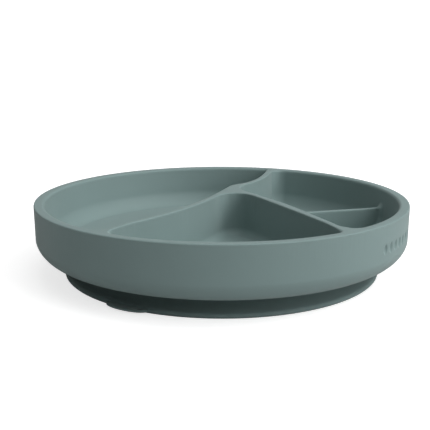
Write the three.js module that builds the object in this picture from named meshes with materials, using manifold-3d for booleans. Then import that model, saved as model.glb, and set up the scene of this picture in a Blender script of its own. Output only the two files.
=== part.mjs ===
// Divided suction plate for a small child, moulded in silicone.
// Frame: millimetres, +Z up, z = 0 is the table under the suction lip, the axis of the plate is the Z axis.
// The plate stands on a hollow suction base. Its dividers share the inside with the round wall.
import * as THREE from 'three';
import { mergeVertices } from 'three/addons/utils/BufferGeometryUtils.js';
import Module from 'manifold-3d';

const wasm = await Module();
wasm.setup();

// Driving dimensions, mm.
const HEIGHT = 36.6;
const RIM_RADIUS = 95;
const WALL_FOOT_RADIUS = 94.8;
const RIM_INNER_RADIUS = 90;
const CORNER_WIDTH = 8;
const CORNER_HEIGHT = 8.8;
const CORNER_POWER = 1.68;
const UNDERSIDE_Z = 10.6;
const FLOOR_TOP_Z = 14;
const FLOOR_RADIUS = 80.2;
const FLOOR_FILLET = 8.6;
const NECK_OUTER_RADIUS = 72;
const NECK_INNER_RADIUS = 66;
const NECK_BOTTOM_Z = 7.6;
const SKIRT_FOOT_Z = 1.5;
const LIP_OUTER_RADIUS = 80.8;
const LIP_INNER_RADIUS = 74;
const LIP_THICKNESS = 1.2;
const LOW_DIVIDER_TOP_Z = 27;
const LOW_DIVIDER_WIDTH = 3;
const EDGE_ROUND = 0.9;
const GAP = 0.3;
const TAB_ANGLE = -121.5;
const TAB_WIDTH = 22;
const TAB_REACH = 6;
const TAB_THICKNESS = 1.2;
const ROUND_SEGMENTS = 96;

const DEG = Math.PI / 180;

// Plan outline of the three full-height dividers, which meet near the middle of the plate.
// Each edge runs from the meeting point out past the inside of the wall.
const LEFT_EDGE = [
  [-51.5, -73.5], [-47.6, -67.5], [-42.2, -58.9], [-35.4, -50.2], [-28.6, -41.3], [-22.1, -31.8],
  [-16.3, -21.9], [-11, -11.6], [-6.4, -1.4], [-2.2, 9.4], [1.8, 20.8], [5.4, 30.6],
  [8.4, 33.9], [13, 38.4], [17.4, 44.8], [20.8, 52.2], [23.7, 61], [26.2, 71], [28.1, 80.5], [29.2, 88],
];
const BACK_RIGHT_EDGE = [
  [33.9, 88], [32, 80.4], [30, 71.2], [27.5, 61.2], [24.3, 51.8], [20.9, 44.4], [16.8, 37.4],
  [12.9, 31.6], [10.8, 26.6], [10.3, 21.6], [11.7, 16.9], [15.1, 11.2], [19.2, 4.4], [25, -5.4],
  [30.6, -15.4], [35.4, -25.2], [40, -35.6], [44.6, -46.6], [49, -57], [53, -67.4], [55, -72.6],
];
const FRONT_EDGE = [
  [51, -73], [48.9, -66], [45.4, -56.6], [41.2, -47.6], [36.9, -38.4], [31.4, -27.1], [25.5, -14.9],
  [20.6, -5], [17.6, 0.6], [14.6, 5], [11.6, 7.6], [7.8, 8.6], [4, 8], [1, 6], [-1.2, 2.4],
  [-4.2, -5], [-8.6, -14.2], [-13.6, -23.8], [-19.2, -33], [-25.6, -42], [-32.4, -50.9],
  [-39.2, -58.8], [-43.6, -65.4], [-46.6, -70.6], [-48.2, -74.6],
];
const LOW_DIVIDER_LINE = [[24, -2], [48, 6.3], [61, 10], [76, 14], [90, 20.5]];

// One profile turned round the Z axis, as one closed body facing outward.
function turned(points, segments = ROUND_SEGMENTS) {
  const profile = points.map(([r, z]) => new THREE.Vector2(r, z));
  const onAxis = points[0][0] === 0 && points[points.length - 1][0] === 0;
  if (!onAxis) {
    profile.push(profile[0].clone());
  }
  const geometry = new THREE.LatheGeometry(profile, segments);
  geometry.rotateX(Math.PI / 2);
  return geometry;
}

// Points of a circular arc in a profile, angles in degrees, end points included.
function arc(centreR, centreZ, radius, from, to, steps) {
  const points = [];
  for (let i = 0; i <= steps; i += 1) {
    const a = (from + ((to - from) * i) / steps) * DEG;
    points.push([centreR + radius * Math.cos(a), centreZ + radius * Math.sin(a)]);
  }
  return points;
}

function toManifold(geometry) {
  const bare = geometry.clone();
  bare.deleteAttribute('normal');
  bare.deleteAttribute('uv');
  const merged = mergeVertices(bare, 1e-4);
  const vertProperties = new Float32Array(merged.attributes.position.array);
  const triVerts = new Uint32Array(merged.index.array);
  const mesh = new wasm.Mesh({ numProp: 3, vertProperties, triVerts });
  mesh.merge();
  return new wasm.Manifold(mesh);
}

function toGeometry(solid) {
  const mesh = solid.getMesh();
  const geometry = new THREE.BufferGeometry();
  const positions = new Float32Array(mesh.vertProperties);
  geometry.setAttribute('position', new THREE.BufferAttribute(positions, 3));
  geometry.setIndex(new THREE.BufferAttribute(new Uint32Array(mesh.triVerts), 1));
  geometry.computeVertexNormals();
  return geometry;
}

// Upright solid over a plan outline, with its upper and lower edges eased.
function upright(outline, bottomZ, topZ) {
  const shape = new THREE.Shape(outline.map(([x, y]) => new THREE.Vector2(x, y)));
  const geometry = new THREE.ExtrudeGeometry(shape, {
    depth: topZ - bottomZ - 2 * EDGE_ROUND,
    bevelEnabled: true,
    bevelThickness: EDGE_ROUND,
    bevelSize: EDGE_ROUND,
    bevelOffset: -EDGE_ROUND,
    bevelSegments: 2,
    curveSegments: 4,
  });
  geometry.translate(0, 0, bottomZ + EDGE_ROUND);
  return toManifold(geometry);
}

// Half of space as a large box: everything on the left of the line from a to b, moved left by the offset.
function leftOf(a, b, offset) {
  const size = 400;
  const box = new THREE.BoxGeometry(size, size, size);
  box.translate(0, size / 2 + offset, 0);
  box.rotateZ(Math.atan2(b[1] - a[1], b[0] - a[0]));
  box.translate(a[0], a[1], 0);
  return toManifold(box);
}

// A wall of constant width along a plan line.
function ribbon(line, width) {
  const left = [];
  const right = [];
  line.forEach((point, i) => {
    const before = line[Math.max(i - 1, 0)];
    const after = line[Math.min(i + 1, line.length - 1)];
    const heading = Math.atan2(after[1] - before[1], after[0] - before[0]);
    const dx = (-Math.sin(heading) * width) / 2;
    const dy = (Math.cos(heading) * width) / 2;
    left.push([point[0] + dx, point[1] + dy]);
    right.unshift([point[0] - dx, point[1] - dy]);
  });
  return [...left, ...right];
}

// Round wall with its rim and its lower outer corner.
function wallProfile() {
  const corner = [];
  const steps = 8;
  for (let i = 0; i <= steps; i += 1) {
    const t = ((1 - i / steps) * Math.PI) / 2;
    const across = Math.cos(t) ** (2 / CORNER_POWER);
    const down = Math.sin(t) ** (2 / CORNER_POWER);
    const r = WALL_FOOT_RADIUS - CORNER_WIDTH + CORNER_WIDTH * across;
    corner.push([r, UNDERSIDE_Z + CORNER_HEIGHT - CORNER_HEIGHT * down]);
  }
  const filletR = FLOOR_RADIUS + GAP / 2;
  return [
    [filletR, UNDERSIDE_Z],
    ...corner,
    ...arc(RIM_RADIUS - 1, HEIGHT - 1, 1, 0, 90, 3),
    ...arc(RIM_INNER_RADIUS + 1.6, HEIGHT - 1.6, 1.6, 90, 180, 4),
    ...arc(filletR, FLOOR_TOP_Z + FLOOR_FILLET, FLOOR_FILLET, 0, -90, 7),
  ];
}

// The hollow that the dividers stand in, smaller than the wall and floor by the gap.
function insideSpace() {
  const filletR = FLOOR_RADIUS - GAP / 2;
  const bottom = FLOOR_TOP_Z + GAP;
  const profile = [
    [0, bottom],
    ...arc(filletR, bottom + FLOOR_FILLET, FLOOR_FILLET, -90, 0, 7),
    [RIM_INNER_RADIUS - GAP, HEIGHT - 1.6],
    [RIM_INNER_RADIUS - GAP, HEIGHT + 5],
    [0, HEIGHT + 5],
  ];
  return toManifold(turned(profile));
}

// Flat disc: food side above, roof of the suction cup below.
function floorProfile() {
  const r = FLOOR_RADIUS - GAP / 2;
  return [
    [0, UNDERSIDE_Z],
    [r, UNDERSIDE_Z],
    [r, FLOOR_TOP_Z],
    [0, FLOOR_TOP_Z],
  ];
}

// Ring under the plate that carries the skirt.
function neckProfile() {
  const top = UNDERSIDE_Z - GAP;
  return [
    [NECK_INNER_RADIUS, NECK_BOTTOM_Z],
    [NECK_OUTER_RADIUS - 0.6, NECK_BOTTOM_Z],
    [NECK_OUTER_RADIUS - 0.8, NECK_BOTTOM_Z + 1],
    [NECK_OUTER_RADIUS, top],
    [NECK_INNER_RADIUS - 1, top],
  ];
}

// Thin flared flange from the neck down to the lip.
function skirtProfile() {
  const top = NECK_BOTTOM_Z - GAP;
  return [
    [LIP_INNER_RADIUS + 2.6, SKIRT_FOOT_Z],
    [LIP_OUTER_RADIUS - 1.4, SKIRT_FOOT_Z],
    [LIP_OUTER_RADIUS - 3.6, SKIRT_FOOT_Z + 0.6],
    [LIP_OUTER_RADIUS - 6.6, SKIRT_FOOT_Z + 2.1],
    [NECK_OUTER_RADIUS - 0.6, top],
    [NECK_INNER_RADIUS + 2, top],
    [NECK_INNER_RADIUS + 3, top - 1.8],
    [LIP_INNER_RADIUS - 1.6, SKIRT_FOOT_Z + 1.9],
  ];
}

// Flat sealing edge on the table.
function lipProfile() {
  return [
    [LIP_INNER_RADIUS, 0],
    [LIP_OUTER_RADIUS - 0.3, 0],
    [LIP_OUTER_RADIUS, 0.3],
    [LIP_OUTER_RADIUS, LIP_THICKNESS - 0.5],
    [LIP_OUTER_RADIUS - 0.5, LIP_THICKNESS],
    [LIP_INNER_RADIUS + 1.2, LIP_THICKNESS],
  ];
}

// Half-moon pull tab with a straight root, lying on the table against the outer edge of the lip.
function pullTab() {
  const half = TAB_WIDTH / 2;
  const root = LIP_OUTER_RADIUS + GAP;
  const steps = 16;
  const outline = [];
  for (let i = 0; i <= steps; i += 1) {
    const t = (i / steps) * Math.PI - Math.PI / 2;
    outline.push([root + TAB_REACH * Math.cos(t) ** 0.7, half * Math.sin(t)]);
  }
  const shape = new THREE.Shape(outline.map(([x, y]) => new THREE.Vector2(x, y)));
  const geometry = new THREE.ExtrudeGeometry(shape, { depth: TAB_THICKNESS, bevelEnabled: false });
  geometry.rotateZ(TAB_ANGLE * DEG);
  return geometry;
}

const group = new THREE.Group();
group.name = 'suction_plate';

function add(name, geometry, colour, roughness) {
  const material = new THREE.MeshStandardMaterial({ color: colour, roughness, metalness: 0 });
  const mesh = new THREE.Mesh(geometry, material);
  mesh.name = name;
  group.add(mesh);
}

const PLATE_COLOUR = 0x7a8f8b;
const BASE_COLOUR = 0x728783;

// The three full-height dividers are one outline, parted by three cuts that meet at the middle.
const inside = insideSpace();
const dividers = upright([...LEFT_EDGE, ...BACK_RIGHT_EDGE, ...FRONT_EDGE], FLOOR_TOP_Z - 2, HEIGHT)
  .intersect(inside);
const MEETING = [5.6, 17.6];
const CUT_LEFT = [-40, 34];
const CUT_FRONT = [2.6, -60];
const CUT_BACK = [70, 23];
const frontLeft = dividers
  .intersect(leftOf(MEETING, CUT_LEFT, GAP / 2))
  .intersect(leftOf(CUT_FRONT, MEETING, GAP / 2));
const frontRight = dividers
  .intersect(leftOf(MEETING, CUT_FRONT, GAP / 2))
  .intersect(leftOf(CUT_BACK, MEETING, GAP / 2));
const back = dividers
  .intersect(leftOf(MEETING, CUT_BACK, GAP / 2))
  .intersect(leftOf(CUT_LEFT, MEETING, GAP / 2));

// The low divider stops the gap short of the front right divider.
const besideFrontRight = BACK_RIGHT_EDGE
  .filter(([, y]) => y < 12 && y > -40)
  .map(([x, y]) => [x + GAP, y + GAP / 2]);
const behindFrontRight = upright([...besideFrontRight, [20, -38], [0, 12]], UNDERSIDE_Z, HEIGHT + 6);
const low = upright(ribbon(LOW_DIVIDER_LINE, LOW_DIVIDER_WIDTH), FLOOR_TOP_Z - 2, LOW_DIVIDER_TOP_Z)
  .intersect(inside)
  .subtract(behindFrontRight);

add('plate_wall', turned(wallProfile()), PLATE_COLOUR, 0.62);
add('plate_floor', turned(floorProfile()), PLATE_COLOUR, 0.62);
add('divider_front_left', toGeometry(frontLeft), PLATE_COLOUR, 0.62);
add('divider_back', toGeometry(back), PLATE_COLOUR, 0.62);
add('divider_front_right', toGeometry(frontRight), PLATE_COLOUR, 0.62);
add('divider_low', toGeometry(low), PLATE_COLOUR, 0.62);
add('base_neck', turned(neckProfile()), BASE_COLOUR, 0.68);
add('suction_skirt', turned(skirtProfile()), BASE_COLOUR, 0.68);
add('suction_lip', turned(lipProfile()), BASE_COLOUR, 0.68);
add('pull_tab', pullTab(), BASE_COLOUR, 0.68);

export default group;
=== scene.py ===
import math

import bmesh
import bpy
import numpy as np
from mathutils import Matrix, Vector


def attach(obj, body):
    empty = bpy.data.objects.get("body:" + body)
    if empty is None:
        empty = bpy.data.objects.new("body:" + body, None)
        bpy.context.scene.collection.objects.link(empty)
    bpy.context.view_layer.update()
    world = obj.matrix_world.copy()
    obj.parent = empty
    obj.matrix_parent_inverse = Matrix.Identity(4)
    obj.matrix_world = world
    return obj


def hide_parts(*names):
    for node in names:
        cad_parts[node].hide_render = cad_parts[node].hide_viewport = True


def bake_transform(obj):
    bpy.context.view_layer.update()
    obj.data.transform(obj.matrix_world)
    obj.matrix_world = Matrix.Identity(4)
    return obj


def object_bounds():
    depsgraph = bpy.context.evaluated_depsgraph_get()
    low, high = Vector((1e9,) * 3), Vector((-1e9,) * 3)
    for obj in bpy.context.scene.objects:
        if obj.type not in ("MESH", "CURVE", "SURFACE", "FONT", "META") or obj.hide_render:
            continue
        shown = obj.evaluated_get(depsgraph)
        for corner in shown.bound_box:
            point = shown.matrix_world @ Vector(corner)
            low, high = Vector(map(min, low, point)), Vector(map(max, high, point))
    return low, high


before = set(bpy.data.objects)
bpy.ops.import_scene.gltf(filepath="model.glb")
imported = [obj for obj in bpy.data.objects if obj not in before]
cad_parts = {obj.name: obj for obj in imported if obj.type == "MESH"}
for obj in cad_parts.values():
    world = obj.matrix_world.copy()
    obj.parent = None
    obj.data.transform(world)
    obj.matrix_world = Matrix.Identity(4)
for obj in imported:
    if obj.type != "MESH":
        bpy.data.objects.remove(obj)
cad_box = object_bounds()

MM = 0.001

# Sizes are in millimetres, in the CAD frame: z = 0 is the table, the Z axis is the axis of the plate.
# A pair in brackets is a stretch, in millimetres, over which one value eases into another.

# Outside of the plate. Its radius and height are those of the CAD's own box.
RIM_R = round(cad_box[1][0] / MM, 3)
HEIGHT = round(cad_box[1][2] / MM, 3)
WALL_TAPER = 0.010
CORNER_W = 8.0
CORNER_H = 8.8
CORNER_POWER = 1.68
UNDERSIDE_Z = 10.6
OUTER_EDGE_ROUND = 0.6

# Inside of the plate. A draft is how far a side leans for each millimetre of height.
RIM_INNER_R = 89.9
FLOOR_Z = 14.0
DIVIDER_DRAFT = 0.03
WALL_ADDED_DRAFT = 0.06
DRAFT_RADII = (82, 88)
WALL_FILLET = 8.6
DIVIDER_FILLET = 4.2
FILLET_RADII = (72, 84)
DIVIDER_EDGE_ROUND = 0.65
RIM_ADDED_ROUND = 0.75
EDGE_RADII = (85.5, 88.5)

# Fillets in plan where a divider runs into the round wall, and how they change towards one end.
LEFT_BEND = 3.0
LEFT_BEND_ADDED_AT_FRONT = 3.0
LEFT_BEND_LESS_AT_BACK = 1.2
LEFT_FRONT_STRETCH = (30, 70)
LEFT_BACK_STRETCH = (40, 70)
FRONT_BEND = 2.6
FRONT_BEND_ADDED_AT_LEFT = 3.0
FRONT_LEFT_STRETCH = (0, 30)
RIGHT_BEND = 8.5
RIGHT_BEND_ADDED_AT_FRONT = 2.0
RIGHT_FRONT_STRETCH = (0, 40)

# Low divider. It runs into the floor and the wall, and stops LOW_INSET short of their outside.
LOW_TOP_Z = 27.0
LOW_HALF_WIDTH = 1.05
LOW_DRAFT = 0.06
LOW_EDGE_ROUND = 0.75
LOW_INSET = 2
LOW_END_FILLET = 0.05
LOW_FOOT_FILLET = 0.9
LOW_ADDED_FILLET = 1.7
LOW_OUTER_RADII = (60, 80)
LOW_FOOT_HEIGHTS = (20, 25)
LOW_INNER_STRETCH = (-1.0, 0.6)

# Row of dimples on the outside of the wall, angles in degrees.
MARK_COUNT = 9
MARK_FIRST_ANGLE = -40
MARK_SPACING = 3.2
MARK_Z = 25.0
MARK_RADIUS = 1.9
MARK_DEPTH = 0.8
MARK_STRETCH = 1.6
MARK_EDGE = 0.2

# Pull tab, a half-moon on the edge of the lip.
TAB_ANGLE = math.radians(-120.5)
TAB_HALF = 10.8
TAB_REACH = 5.2
TAB_ROOT_INSET = 1.9
TAB_TIP_INSET = 0.4
TAB_RIM_ROUND = 0.7
TAB_END_ROUND = 0.5
TAB_ROOT_Z = 0.95
TAB_RISE = 0.75
TAB_ROOT_HALF_THICK = 0.72
TAB_THINNING = 0.2
LIP_R = 81.1

# Sampling of the plate: the plan grid, the grid its surface is cut from, and how it is then settled.
PLAN_HALF = 99.0
PLAN_STEP = 0.5
GRID_HALF = 96.2
GRID_BOTTOM_Z = 9.3
GRID_TOP_Z = 38.2
PLATE_FACES = 120000
LONGEST_MOVE = 0.4
LEAST_SLOPE_SQUARED = 0.2
TINY = 1e-9
FAR = 1e9

# Side of each compartment that the full-height dividers make, in plan, from rim to rim: the large
# compartment at the left, the two at the right taken as one, and the one at the front.
LEFT_EDGE = [
    (-60.0, -86.0), (-51.5, -73.5), (-47.6, -67.5), (-42.2, -58.9), (-35.4, -50.2), (-28.6, -41.3),
    (-22.1, -31.8), (-16.3, -21.9), (-11.0, -11.6), (-6.4, -1.4), (-2.2, 9.4), (1.8, 20.8), (5.4, 30.6),
    (8.4, 33.9), (13.0, 38.4), (17.4, 44.8), (20.8, 52.2), (23.7, 61.0), (26.2, 71.0), (28.1, 80.5),
    (29.2, 88.0), (30.4, 99.0),
]
RIGHT_EDGE = [
    (35.2, 99.0), (33.9, 88.0), (32.0, 80.4), (30.0, 71.2), (27.5, 61.2), (24.3, 51.8), (20.9, 44.4),
    (16.8, 37.4), (12.9, 31.6), (10.8, 26.6), (10.3, 21.6), (11.7, 16.9), (15.1, 11.2), (19.2, 4.4),
    (25.0, -5.4), (30.6, -15.4), (35.4, -25.2), (40.0, -35.6), (44.6, -46.6), (49.0, -57.0),
    (53.0, -67.4), (58.0, -80.0),
]
FRONT_EDGE = [
    (55.0, -86.0), (51.0, -73.0), (48.9, -66.0), (45.4, -56.6), (41.2, -47.6), (36.9, -38.4),
    (31.4, -27.1), (25.5, -14.9), (20.6, -5.0), (17.6, 0.6), (14.6, 5.0), (11.6, 7.6), (7.8, 8.6),
    (4.0, 8.0), (1.0, 6.0), (-1.2, 2.4), (-4.2, -5.0), (-8.6, -14.2), (-13.6, -23.8), (-19.2, -33.0),
    (-25.6, -42.0), (-32.4, -50.9), (-39.2, -58.8), (-43.6, -65.4), (-46.6, -70.6), (-56.0, -88.0),
]
# Middle of the low divider in plan, from the front right divider to the wall.
LOW_LINE = [(22.9, -4.0), (28.5, -1.2), (36.0, 2.2), (48.0, 6.3), (61.0, 10.0), (76.0, 14.0), (90.6, 19.6)]


# Plan curves and distance fields.
def smooth_curve(points, per_span=8):
    """Catmull-Rom curve through plan points."""
    p = np.array(points, float)
    ext = np.vstack([2 * p[0] - p[1], p, 2 * p[-1] - p[-2]])
    out = []
    for i in range(len(p) - 1):
        a, b, c, d = ext[i:i + 4]
        for s in np.arange(per_span) / per_span:
            out.append(0.5 * (2 * b + (c - a) * s + (2 * a - 5 * b + 4 * c - d) * s ** 2
                              + (3 * b - a - 3 * c + d) * s ** 3))
    out.append(p[-1])
    return np.array(out)


def line_distance(x, y, line):
    """Distance from plan points to an open line, and +1 on its left or -1 on its right."""
    best = np.full(x.shape, FAR)
    side = np.ones(x.shape)
    along = np.zeros(x.shape)
    for (ax, ay), (bx, by) in zip(line[:-1], line[1:]):
        dx, dy = bx - ax, by - ay
        t = np.clip(((x - ax) * dx + (y - ay) * dy) / (dx * dx + dy * dy), 0, 1)
        ex, ey = x - ax - t * dx, y - ay - t * dy
        d = ex * ex + ey * ey
        cross = dx * (y - ay) - dy * (x - ax)
        # At a shared corner the segment that the point is most square to decides the side.
        square = np.abs(cross) / math.hypot(dx, dy)
        nearer = (d < best - TINY) | ((np.abs(d - best) <= TINY) & (square > along))
        best = np.where(nearer, d, best)
        side = np.where(nearer, np.sign(cross), side)
        along = np.where(nearer, square, along)
    return np.sqrt(best), side


def smax(a, b, r):
    """Intersection of two distance fields with a rounded edge of radius r."""
    u, v = np.maximum(a + r, 0), np.maximum(b + r, 0)
    return np.minimum(np.maximum(a, b), -r) + np.sqrt(u * u + v * v)


def smin(a, b, r):
    """Union of two distance fields with a fillet of radius r."""
    return -smax(-a, -b, r)


def ease(x, low, high):
    """0 below low, 1 above high and a smooth step between them."""
    t = np.clip((x - low) / (high - low), 0, 1)
    return t * t * (3 - 2 * t)


def pocket_distance(x, y, edge, rim, bend):
    """Distance to a compartment in plan, negative inside it, with its corners at the wall filleted."""
    d, side = line_distance(x, y, smooth_curve(edge))
    return smax(-side * d, rim, bend)


class PlanFields:
    """Plan distances sampled on a fine grid, read back by cubic interpolation."""

    def __init__(self, half, step):
        self.low, self.step = -half, step
        n = int(round(2 * half / step)) + 1
        axis = -half + step * np.arange(n)
        x, y = np.meshgrid(axis, axis, indexing="ij")
        rim = np.hypot(x, y) - RIM_INNER_R
        left_bend = (LEFT_BEND + LEFT_BEND_ADDED_AT_FRONT * ease(-y, *LEFT_FRONT_STRETCH)
                     - LEFT_BEND_LESS_AT_BACK * ease(y, *LEFT_BACK_STRETCH))
        front_bend = FRONT_BEND + FRONT_BEND_ADDED_AT_LEFT * ease(-x, *FRONT_LEFT_STRETCH)
        right_bend = RIGHT_BEND + RIGHT_BEND_ADDED_AT_FRONT * ease(-y, *RIGHT_FRONT_STRETCH)
        left = pocket_distance(x, y, LEFT_EDGE, rim, left_bend)
        front = pocket_distance(x, y, FRONT_EDGE, rim, front_bend)
        right = pocket_distance(x, y, RIGHT_EDGE, rim, right_bend)
        low, _ = line_distance(x, y, smooth_curve(LOW_LINE))
        self.stack = np.stack([np.minimum(np.minimum(left, front), right), right, low])

    def read(self, x, y):
        """Pocket distance, right-hand pocket distance and low divider distance at plan points."""
        gx, gy = (x - self.low) / self.step, (y - self.low) / self.step
        n = self.stack.shape[1]
        ix = np.clip(np.floor(gx).astype(int), 1, n - 3)
        iy = np.clip(np.floor(gy).astype(int), 1, n - 3)
        wx, wy = self.weights(gx - ix), self.weights(gy - iy)
        out = np.zeros((3,) + x.shape)
        for i in range(4):
            for j in range(4):
                out += wx[i] * wy[j] * self.stack[:, ix + i - 1, iy + j - 1]
        return out

    @staticmethod
    def weights(t):
        """Catmull-Rom weights of four neighbours, for a point t of the way from the second to the third."""
        return (-0.5 * t + t * t - 0.5 * t ** 3, 1 - 2.5 * t * t + 1.5 * t ** 3,
                0.5 * t + 2 * t * t - 1.5 * t ** 3, -0.5 * t * t + 0.5 * t ** 3)


def wall_radius(z):
    """Radius of the outside of the wall, above its lower corner."""
    return RIM_R - WALL_TAPER * (HEIGHT - z)


def outer_distance(r, z):
    """Outside of the plate: near-upright wall over a soft lower corner, eased at the rim."""
    u = np.maximum((r - (wall_radius(z) - CORNER_W)) / CORNER_W, 0)
    v = np.maximum((UNDERSIDE_Z + CORNER_H - z) / CORNER_H, 0)
    body = ((u ** CORNER_POWER + v ** CORNER_POWER) ** (1 / CORNER_POWER) - 1) * CORNER_W
    return smax(body, z - HEIGHT, OUTER_EDGE_ROUND)


def marks_distance(x, y, z):
    """Distance to a plain row of upright oval dimples on the outside of the wall."""
    best = np.full(x.shape, FAR)
    away = wall_radius(MARK_Z) + MARK_RADIUS - MARK_DEPTH
    rise = (z - MARK_Z) / MARK_STRETCH
    for i in range(MARK_COUNT):
        a = math.radians(MARK_FIRST_ANGLE + MARK_SPACING * i)
        cx, cy = away * math.cos(a), away * math.sin(a)
        best = np.minimum(best, np.sqrt((x - cx) ** 2 + (y - cy) ** 2 + rise ** 2) - MARK_RADIUS)
    return best


def low_divider_distance(low, outer, z):
    """Distance to the low divider, with a rounded top, out to where it stops inside floor and wall."""
    fin = smax(low - LOW_HALF_WIDTH - LOW_DRAFT * (LOW_TOP_Z - z), z - LOW_TOP_Z, LOW_EDGE_ROUND)
    return np.maximum(fin, np.maximum(UNDERSIDE_Z + LOW_INSET - z, outer + LOW_INSET))


def plate_distance(x, y, z, plan):
    """Signed distance to the plate moulding, negative inside."""
    pocket, right, low = plan
    r = np.hypot(x, y)
    draft = DIVIDER_DRAFT + WALL_ADDED_DRAFT * ease(r, *DRAFT_RADII)
    wall = pocket + draft * (HEIGHT - z)
    fillet = DIVIDER_FILLET + (WALL_FILLET - DIVIDER_FILLET) * ease(r, *FILLET_RADII)
    hollow = smax(wall, FLOOR_Z - z, fillet)
    edge = DIVIDER_EDGE_ROUND + RIM_ADDED_ROUND * ease(r, *EDGE_RADII)
    outer = outer_distance(r, z)
    solid = smax(outer, -hollow, edge)
    # The low divider has a soft foot, a soft outer end and a tighter end against the tall divider.
    widened = np.maximum(ease(r, *LOW_OUTER_RADII), 1 - ease(z, *LOW_FOOT_HEIGHTS))
    foot = LOW_FOOT_FILLET + LOW_ADDED_FILLET * widened
    join = LOW_END_FILLET + foot * ease(-right, *LOW_INNER_STRETCH)
    solid = smin(solid, low_divider_distance(low, outer, z), join)
    return smax(solid, -marks_distance(x, y, z), MARK_EDGE)


def distance_at(points, plan_fields):
    """Signed distance to the plate moulding at points in space."""
    x, y, z = points.T
    return plate_distance(x, y, z, plan_fields.read(x, y))


def slope_at(points, plan_fields, h=0.04):
    """Slope of the distance field, from samples h either way along each axis."""
    slope = np.zeros_like(points)
    for n in range(3):
        step = np.zeros(3)
        step[n] = h
        ahead = distance_at(points + step, plan_fields)
        slope[:, n] = (ahead - distance_at(points - step, plan_fields)) / (2 * h)
    return slope


def settle(points, plan_fields, rounds):
    """Moves points on to the zero surface."""
    for _ in range(rounds):
        f = distance_at(points, plan_fields)
        g = slope_at(points, plan_fields)
        move = (f / np.maximum((g * g).sum(1), LEAST_SLOPE_SQUARED))[:, None] * g
        size = np.linalg.norm(move, axis=1, keepdims=True)
        points = points - move * np.minimum(1, LONGEST_MOVE / np.maximum(size, TINY))
    return points


# Surface of a distance field, as one point in each grid cell that the surface passes through.
def net_points(field, cells, corners):
    """Mean of the places where the surface cuts each cell's twelve edges, in cells from its low corner."""
    place = np.zeros((len(cells), 3))
    count = np.zeros(len(cells))
    for a in corners:
        for axis in range(3):
            if a[axis]:
                continue
            b = tuple(1 if n == axis else a[n] for n in range(3))
            fa = field[cells[:, 0] + a[0], cells[:, 1] + a[1], cells[:, 2] + a[2]]
            fb = field[cells[:, 0] + b[0], cells[:, 1] + b[1], cells[:, 2] + b[2]]
            cut = (fa < 0) != (fb < 0)
            t = np.where(cut, fa / np.where(cut, fa - fb, 1), 0)
            for n in range(3):
                place[:, n] += np.where(cut, a[n] + (t if n == axis else 0), 0)
            count += cut
    return place / count[:, None]


def net_quads(sign, index, axis):
    """A quad round each grid edge along one axis that the surface cuts, turned to face outward."""
    u, v = [(1, 2), (2, 0), (0, 1)][axis]
    first = [slice(None)] * 3
    second = [slice(None)] * 3
    first[axis], second[axis] = slice(0, -1), slice(1, None)
    s0, s1 = sign[tuple(first)], sign[tuple(second)]
    at = np.argwhere(s0 != s1)
    at = at[(at[:, u] > 0) & (at[:, v] > 0) & (at[:, u] < sign.shape[u] - 1)
            & (at[:, v] < sign.shape[v] - 1)]
    out = s0[tuple(at.T)]
    ring = []
    for du, dv in ((-1, -1), (0, -1), (0, 0), (-1, 0)):
        c = at.copy()
        c[:, u] += du
        c[:, v] += dv
        ring.append(index[tuple(c.T)])
    ring = np.stack(ring, 1)
    ring[~out] = ring[~out][:, ::-1]
    return ring


def surface_net(field, low, step):
    """Points on a sampled distance field's zero surface, and the quads between them."""
    sign = field < 0
    nx, ny, nz = field.shape
    corners = [(i, j, k) for i in (0, 1) for j in (0, 1) for k in (0, 1)]
    total = np.zeros((nx - 1, ny - 1, nz - 1), np.int8)
    for i, j, k in corners:
        total += sign[i:nx - 1 + i, j:ny - 1 + j, k:nz - 1 + k]
    cells = np.argwhere((total > 0) & (total < len(corners)))
    index = np.full(total.shape, -1, np.int64)
    index[tuple(cells.T)] = np.arange(len(cells))
    points = low + step * (cells + net_points(field, cells, corners))
    return points, np.concatenate([net_quads(sign, index, axis) for axis in range(3)])


# Blender objects.
def shade_smooth(mesh):
    mesh.polygons.foreach_set("use_smooth", np.ones(len(mesh.polygons), bool))


def new_object(name, points, faces):
    """Object in the scene, from points in millimetres."""
    mesh = bpy.data.meshes.new(name)
    mesh.from_pydata((np.asarray(points) * MM).tolist(), [], [list(map(int, f)) for f in faces])
    mesh.update()
    shade_smooth(mesh)
    obj = bpy.data.objects.new(name, mesh)
    bpy.context.scene.collection.objects.link(obj)
    return obj


def apply_modifiers(obj):
    graph = bpy.context.evaluated_depsgraph_get()
    mesh = bpy.data.meshes.new_from_object(obj.evaluated_get(graph))
    obj.modifiers.clear()
    old = obj.data
    obj.data = mesh
    bpy.data.meshes.remove(old)


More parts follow.
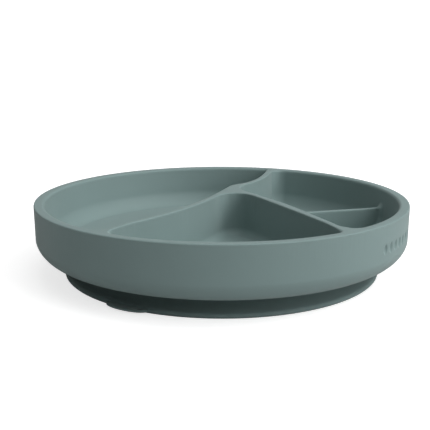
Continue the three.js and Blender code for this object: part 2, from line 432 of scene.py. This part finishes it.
def build_plate():
    """The plate moulding: wall, floor and dividers as one surface, with normals from its own field."""
    step = 0.6
    plan_fields = PlanFields(PLAN_HALF, PLAN_STEP)
    xy = np.arange(-GRID_HALF, GRID_HALF + 0.01, step)
    gx, gy = np.meshgrid(xy, xy, indexing="ij")
    plan = plan_fields.read(gx, gy)
    levels = np.arange(GRID_BOTTOM_Z, GRID_TOP_Z, step)
    field = np.stack([plate_distance(gx, gy, z, plan) for z in levels], axis=2)
    points, quads = surface_net(field, np.array([xy[0], xy[0], levels[0]]), step)
    points = settle(points, plan_fields, 1)
    obj = new_object("plate_moulding", points, quads)
    triangles = 2 * len(quads)
    if triangles > PLATE_FACES:
        thin = obj.modifiers.new("thin", "DECIMATE")
        thin.ratio = PLATE_FACES / triangles
        apply_modifiers(obj)
    mesh = obj.data
    co = np.zeros(len(mesh.vertices) * 3)
    mesh.vertices.foreach_get("co", co)
    points = settle(co.reshape(-1, 3) / MM, plan_fields, 2)
    mesh.vertices.foreach_set("co", (points * MM).ravel())
    mesh.update()
    shade_smooth(mesh)
    slope = slope_at(points, plan_fields)
    normals = slope / np.maximum(np.linalg.norm(slope, axis=1, keepdims=True), TINY)
    mesh.normals_split_custom_set_from_vertices(normals.tolist())
    return obj


def base_profile():
    """Closed profile of the suction base, as radius and height: up to down outside, then up inside."""
    outside = [
        (70.6, 10.45), (70.7, 9.4), (71.0, 8.0), (71.6, 6.6), (72.6, 5.3), (73.9, 4.3), (75.4, 3.5),
        (76.9, 2.95), (78.2, 2.6), (79.4, 2.35), (80.3, 2.05), (80.8, 1.65), (81.08, 1.15), (81.12, 0.7),
        (81.0, 0.3), (80.75, 0.06), (80.4, 0.0),
    ]
    inside = [
        (77.0, 0.0), (76.2, 0.15), (75.0, 0.9), (73.6, 1.9), (72.0, 2.9), (70.6, 4.0), (69.4, 5.2),
        (68.4, 6.6), (67.6, 8.0), (67.0, 9.2), (66.6, 10.45),
    ]
    return outside + inside


def turned(name, profile, segments=192):
    """Object made by turning a closed profile of radii and heights round the Z axis."""
    points, faces = [], []
    n = len(profile)
    for s in range(segments):
        a = 2 * math.pi * s / segments
        for r, z in profile:
            points.append((r * math.cos(a), r * math.sin(a), z))
    for s in range(segments):
        t = (s + 1) % segments
        for i in range(n):
            j = (i + 1) % n
            faces.append((s * n + i, s * n + j, t * n + j, t * n + i))
    return new_object(name, points, faces)


def tab_points(columns, rows):
    """Grid of points on the underside of the tab and then on its top, with the tab along the X axis."""
    points = []
    for side in (0, 1):
        for i in range(columns + 1):
            turn = (-1 + 2 * i / columns) * math.pi / 2
            y = TAB_HALF * math.sin(turn)
            reach = TAB_REACH * math.sqrt(max(math.cos(turn), 0))
            root = math.sqrt((LIP_R - TAB_ROOT_INSET) ** 2 - y * y)
            tip = math.sqrt((LIP_R - TAB_TIP_INSET) ** 2 - y * y) + reach
            for j in range(rows + 1):
                s = j / rows
                x = root + (tip - root) * (1 - (1 - s) ** 1.5)
                edge = min(1.0, max(0.0, tip - x) / TAB_RIM_ROUND,
                           max(0.0, TAB_HALF - abs(y)) / TAB_END_ROUND)
                rounded = math.sqrt(max(0.0, 1 - (1 - edge) ** 2))
                middle = TAB_ROOT_Z + TAB_RISE * s
                half = (TAB_ROOT_HALF_THICK - TAB_THINNING * s) * rounded
                points.append((x, y, middle + half if side else middle - half))
    return points


def close_mesh(obj):
    """Joins points that meet, drops faces with no area and turns the rest outward."""
    weld = obj.modifiers.new("weld", "WELD")
    weld.merge_threshold = 0.02 * MM
    apply_modifiers(obj)
    bm = bmesh.new()
    bm.from_mesh(obj.data)
    bmesh.ops.dissolve_degenerate(bm, dist=0.001 * MM, edges=bm.edges)
    bmesh.ops.recalc_face_normals(bm, faces=bm.faces)
    bm.to_mesh(obj.data)
    bm.free()
    shade_smooth(obj.data)


def build_tab(columns=40, rows=14):
    """Half-moon tab that grows out of the lip, thinner towards its rim and lifted off the table there."""
    n = rows + 1
    size = (columns + 1) * n
    faces = []
    for i in range(columns):
        for j in range(rows):
            a, b, c, d = i * n + j, (i + 1) * n + j, (i + 1) * n + j + 1, i * n + j + 1
            faces.append((a, b, c, d))
            faces.append((size + a, size + d, size + c, size + b))
    root = [i * n for i in range(columns + 1)]
    for a, b in zip(root[:-1], root[1:]):
        faces.append((a, size + a, size + b, b))
    obj = new_object("release_tab", tab_points(columns, rows), faces)
    c, s = math.cos(TAB_ANGLE), math.sin(TAB_ANGLE)
    for v in obj.data.vertices:
        x, y, z = v.co
        v.co = (x * c - y * s, x * s + y * c, z)
    close_mesh(obj)
    return obj


def silicone(name, colour, roughness):
    """Matt silicone: even colour with a faint mottle, a fine skin and a soft dusty sheen."""
    mat = bpy.data.materials.new(name)
    mat.use_nodes = True
    nodes, links = mat.node_tree.nodes, mat.node_tree.links
    shader = nodes["Principled BSDF"]
    coords = nodes.new("ShaderNodeTexCoord")
    mottle = nodes.new("ShaderNodeTexNoise")
    mottle.inputs["Scale"].default_value = 38.0
    mottle.inputs["Detail"].default_value = 4.0
    mix = nodes.new("ShaderNodeMix")
    mix.data_type = "RGBA"
    darker = [c * 0.955 for c in colour]
    lighter = [c * 1.045 for c in colour]
    mix.inputs["A"].default_value = (*darker, 1)
    mix.inputs["B"].default_value = (*lighter, 1)
    grain = nodes.new("ShaderNodeTexNoise")
    grain.inputs["Scale"].default_value = 900.0
    grain.inputs["Detail"].default_value = 3.0
    rough = nodes.new("ShaderNodeMapRange")
    rough.inputs["To Min"].default_value = roughness - 0.05
    rough.inputs["To Max"].default_value = roughness + 0.06
    bump = nodes.new("ShaderNodeBump")
    bump.inputs["Strength"].default_value = 0.08
    bump.inputs["Distance"].default_value = 0.2 * MM
    links.new(coords.outputs["Object"], mottle.inputs["Vector"])
    links.new(coords.outputs["Object"], grain.inputs["Vector"])
    links.new(mottle.outputs["Fac"], mix.inputs["Factor"])
    links.new(mix.outputs["Result"], shader.inputs["Base Color"])
    links.new(grain.outputs["Fac"], rough.inputs["Value"])
    links.new(rough.outputs["Result"], shader.inputs["Roughness"])
    links.new(grain.outputs["Fac"], bump.inputs["Height"])
    links.new(bump.outputs["Normal"], shader.inputs["Normal"])
    shader.inputs["Specular IOR Level"].default_value = 0.32
    shader.inputs["Sheen Weight"].default_value = 0.12
    shader.inputs["Sheen Roughness"].default_value = 0.5
    return mat


PLATE_COLOUR = (0.187, 0.262, 0.257)
# Painted shade: the base colour is the plate's silicone colour darkened to about 0.86, to stand in for the
# shade under the plate's overhang. The base is the same silicone as the plate.
BASE_COLOUR_PAINTED_SHADE = (0.160, 0.224, 0.220)
plate_mat = silicone("plate_silicone", PLATE_COLOUR, 0.62)
base_mat_painted_shade = silicone("base_silicone", BASE_COLOUR_PAINTED_SHADE, 0.66)

plate = build_plate()
plate.data.materials.append(plate_mat)
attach(plate, "plate")
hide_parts("plate_wall", "plate_floor", "divider_front_left", "divider_back",
            "divider_front_right", "divider_low")

base = turned("suction_foot", base_profile())
# The suction foot takes the darkened colour, painted shade.
base.data.materials.append(base_mat_painted_shade)
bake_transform(base)
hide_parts("base_neck", "suction_skirt", "suction_lip")

tab = build_tab()
# The tab takes the same darkened colour, painted shade.
tab.data.materials.append(base_mat_painted_shade)
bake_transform(tab)
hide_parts("pull_tab")

# Floor, light and camera, in metres from here on.
GROUND_FLAT_R = 2.4
GROUND_BEND_R = 1.2
GROUND_TOP_Z = 3.2
GROUND_BEND_STEPS = 12
GROUND_SEGMENTS = 96
GROUND_GREY = (0.57, 0.57, 0.57, 1)
WHITE = (1, 1, 1, 1)
WORLD_STRENGTH = 0.38
LIGHT_SIZE = 0.9
LIGHT_DISTANCE = 1.9
LIGHT_AIM = Vector((0, 0, 0.02))
# Each light's name, azimuth and elevation in degrees, and power in watts.
LIGHTS = [
    ("key_low", 0, 20, 3.1),
    ("key_high", 0, 45, 11.6),
    ("key_top", 0, 70, 3.2),
    ("front_low", -35, 20, 9.3),
    ("front_high", -35, 45, 6.7),
    ("front_fill", -70, 50, 2.9),
    ("overhead", 0, 89, 4.4),
]
CAMERA_PLACE = (0, -0.37326, 0.11305)
CAMERA_TILT = 76.94
CAMERA_PAN = 0.505
CAMERA_LENS = 61.34


def ground_profile():
    """Flat ground that turns up into a wall far away, so that no horizon shows."""
    points = [(1.0, 0.0), (GROUND_FLAT_R, 0.0)]
    for i in range(1, GROUND_BEND_STEPS + 1):
        a = i / GROUND_BEND_STEPS * math.pi / 2
        out = GROUND_FLAT_R + GROUND_BEND_R * math.sin(a)
        points.append((out, GROUND_BEND_R - GROUND_BEND_R * math.cos(a)))
    points.append((GROUND_FLAT_R + GROUND_BEND_R, GROUND_TOP_Z))
    return points


def build_ground():
    profile, n = ground_profile(), GROUND_SEGMENTS
    turns = [2 * math.pi * s / n for s in range(n)]
    points = [(r * math.cos(a), r * math.sin(a), z) for r, z in profile for a in turns]
    faces = [tuple(range(n))]
    for k in range(len(profile) - 1):
        for s in range(n):
            t = (s + 1) % n
            faces.append((k * n + s, (k + 1) * n + s, (k + 1) * n + t, k * n + t))
    return new_object("ground", np.array(points) / MM, faces)


def ground_material():
    """Pale ground that looks nearly white all the way back, and still takes the plate's shadow."""
    mat = bpy.data.materials.new("ground")
    mat.use_nodes = True
    nodes, links = mat.node_tree.nodes, mat.node_tree.links
    shader = nodes["Principled BSDF"]
    shader.inputs["Base Color"].default_value = GROUND_GREY
    shader.inputs["Roughness"].default_value = 0.95
    shader.inputs["Specular IOR Level"].default_value = 0.1
    coords = nodes.new("ShaderNodeTexCoord")
    length = nodes.new("ShaderNodeVectorMath")
    length.operation = "LENGTH"
    lift = nodes.new("ShaderNodeMapRange")
    lift.inputs["From Min"].default_value = 0.15
    lift.inputs["From Max"].default_value = 1.6
    lift.inputs["To Min"].default_value = 0.72
    lift.inputs["To Max"].default_value = 1.0
    path = nodes.new("ShaderNodeLightPath")
    strength = nodes.new("ShaderNodeMath")
    strength.operation = "MULTIPLY"
    links.new(coords.outputs["Object"], length.inputs[0])
    links.new(length.outputs["Value"], lift.inputs["Value"])
    links.new(lift.outputs["Result"], strength.inputs[0])
    links.new(path.outputs["Is Camera Ray"], strength.inputs[1])
    links.new(strength.outputs["Value"], shader.inputs["Emission Strength"])
    shader.inputs["Emission Color"].default_value = WHITE
    return mat


def softbox(name, azimuth, elevation, power):
    """Round soft light aimed at the plate, placed by its direction from it."""
    data = bpy.data.lights.new(name, "AREA")
    data.shape = "DISK"
    data.size = LIGHT_SIZE
    data.energy = power
    a, e = math.radians(azimuth), math.radians(elevation)
    away = Vector((math.cos(a) * math.cos(e), math.sin(a) * math.cos(e), math.sin(e)))
    obj = bpy.data.objects.new(name, data)
    obj.location = LIGHT_AIM + away * LIGHT_DISTANCE
    obj.rotation_euler = away.to_track_quat("Z", "Y").to_euler()
    obj.visible_camera = False
    bpy.context.scene.collection.objects.link(obj)


floor = build_ground()
floor.data.materials.append(ground_material())

scene = bpy.context.scene
scene.view_settings.view_transform = "Standard"
world = bpy.data.worlds.new("studio")
scene.world = world
world.use_nodes = True
background = world.node_tree.nodes["Background"]
background.inputs["Color"].default_value = WHITE
background.inputs["Strength"].default_value = WORLD_STRENGTH

for light in LIGHTS:
    softbox(*light)

camera_data = bpy.data.cameras.new("camera")
camera_data.sensor_width = 36
camera_data.lens = CAMERA_LENS
camera_data.clip_start = 0.01
camera = bpy.data.objects.new("camera", camera_data)
camera.location = CAMERA_PLACE
camera.rotation_euler = (math.radians(CAMERA_TILT), 0, math.radians(CAMERA_PAN))
scene.collection.objects.link(camera)
scene.camera = camera
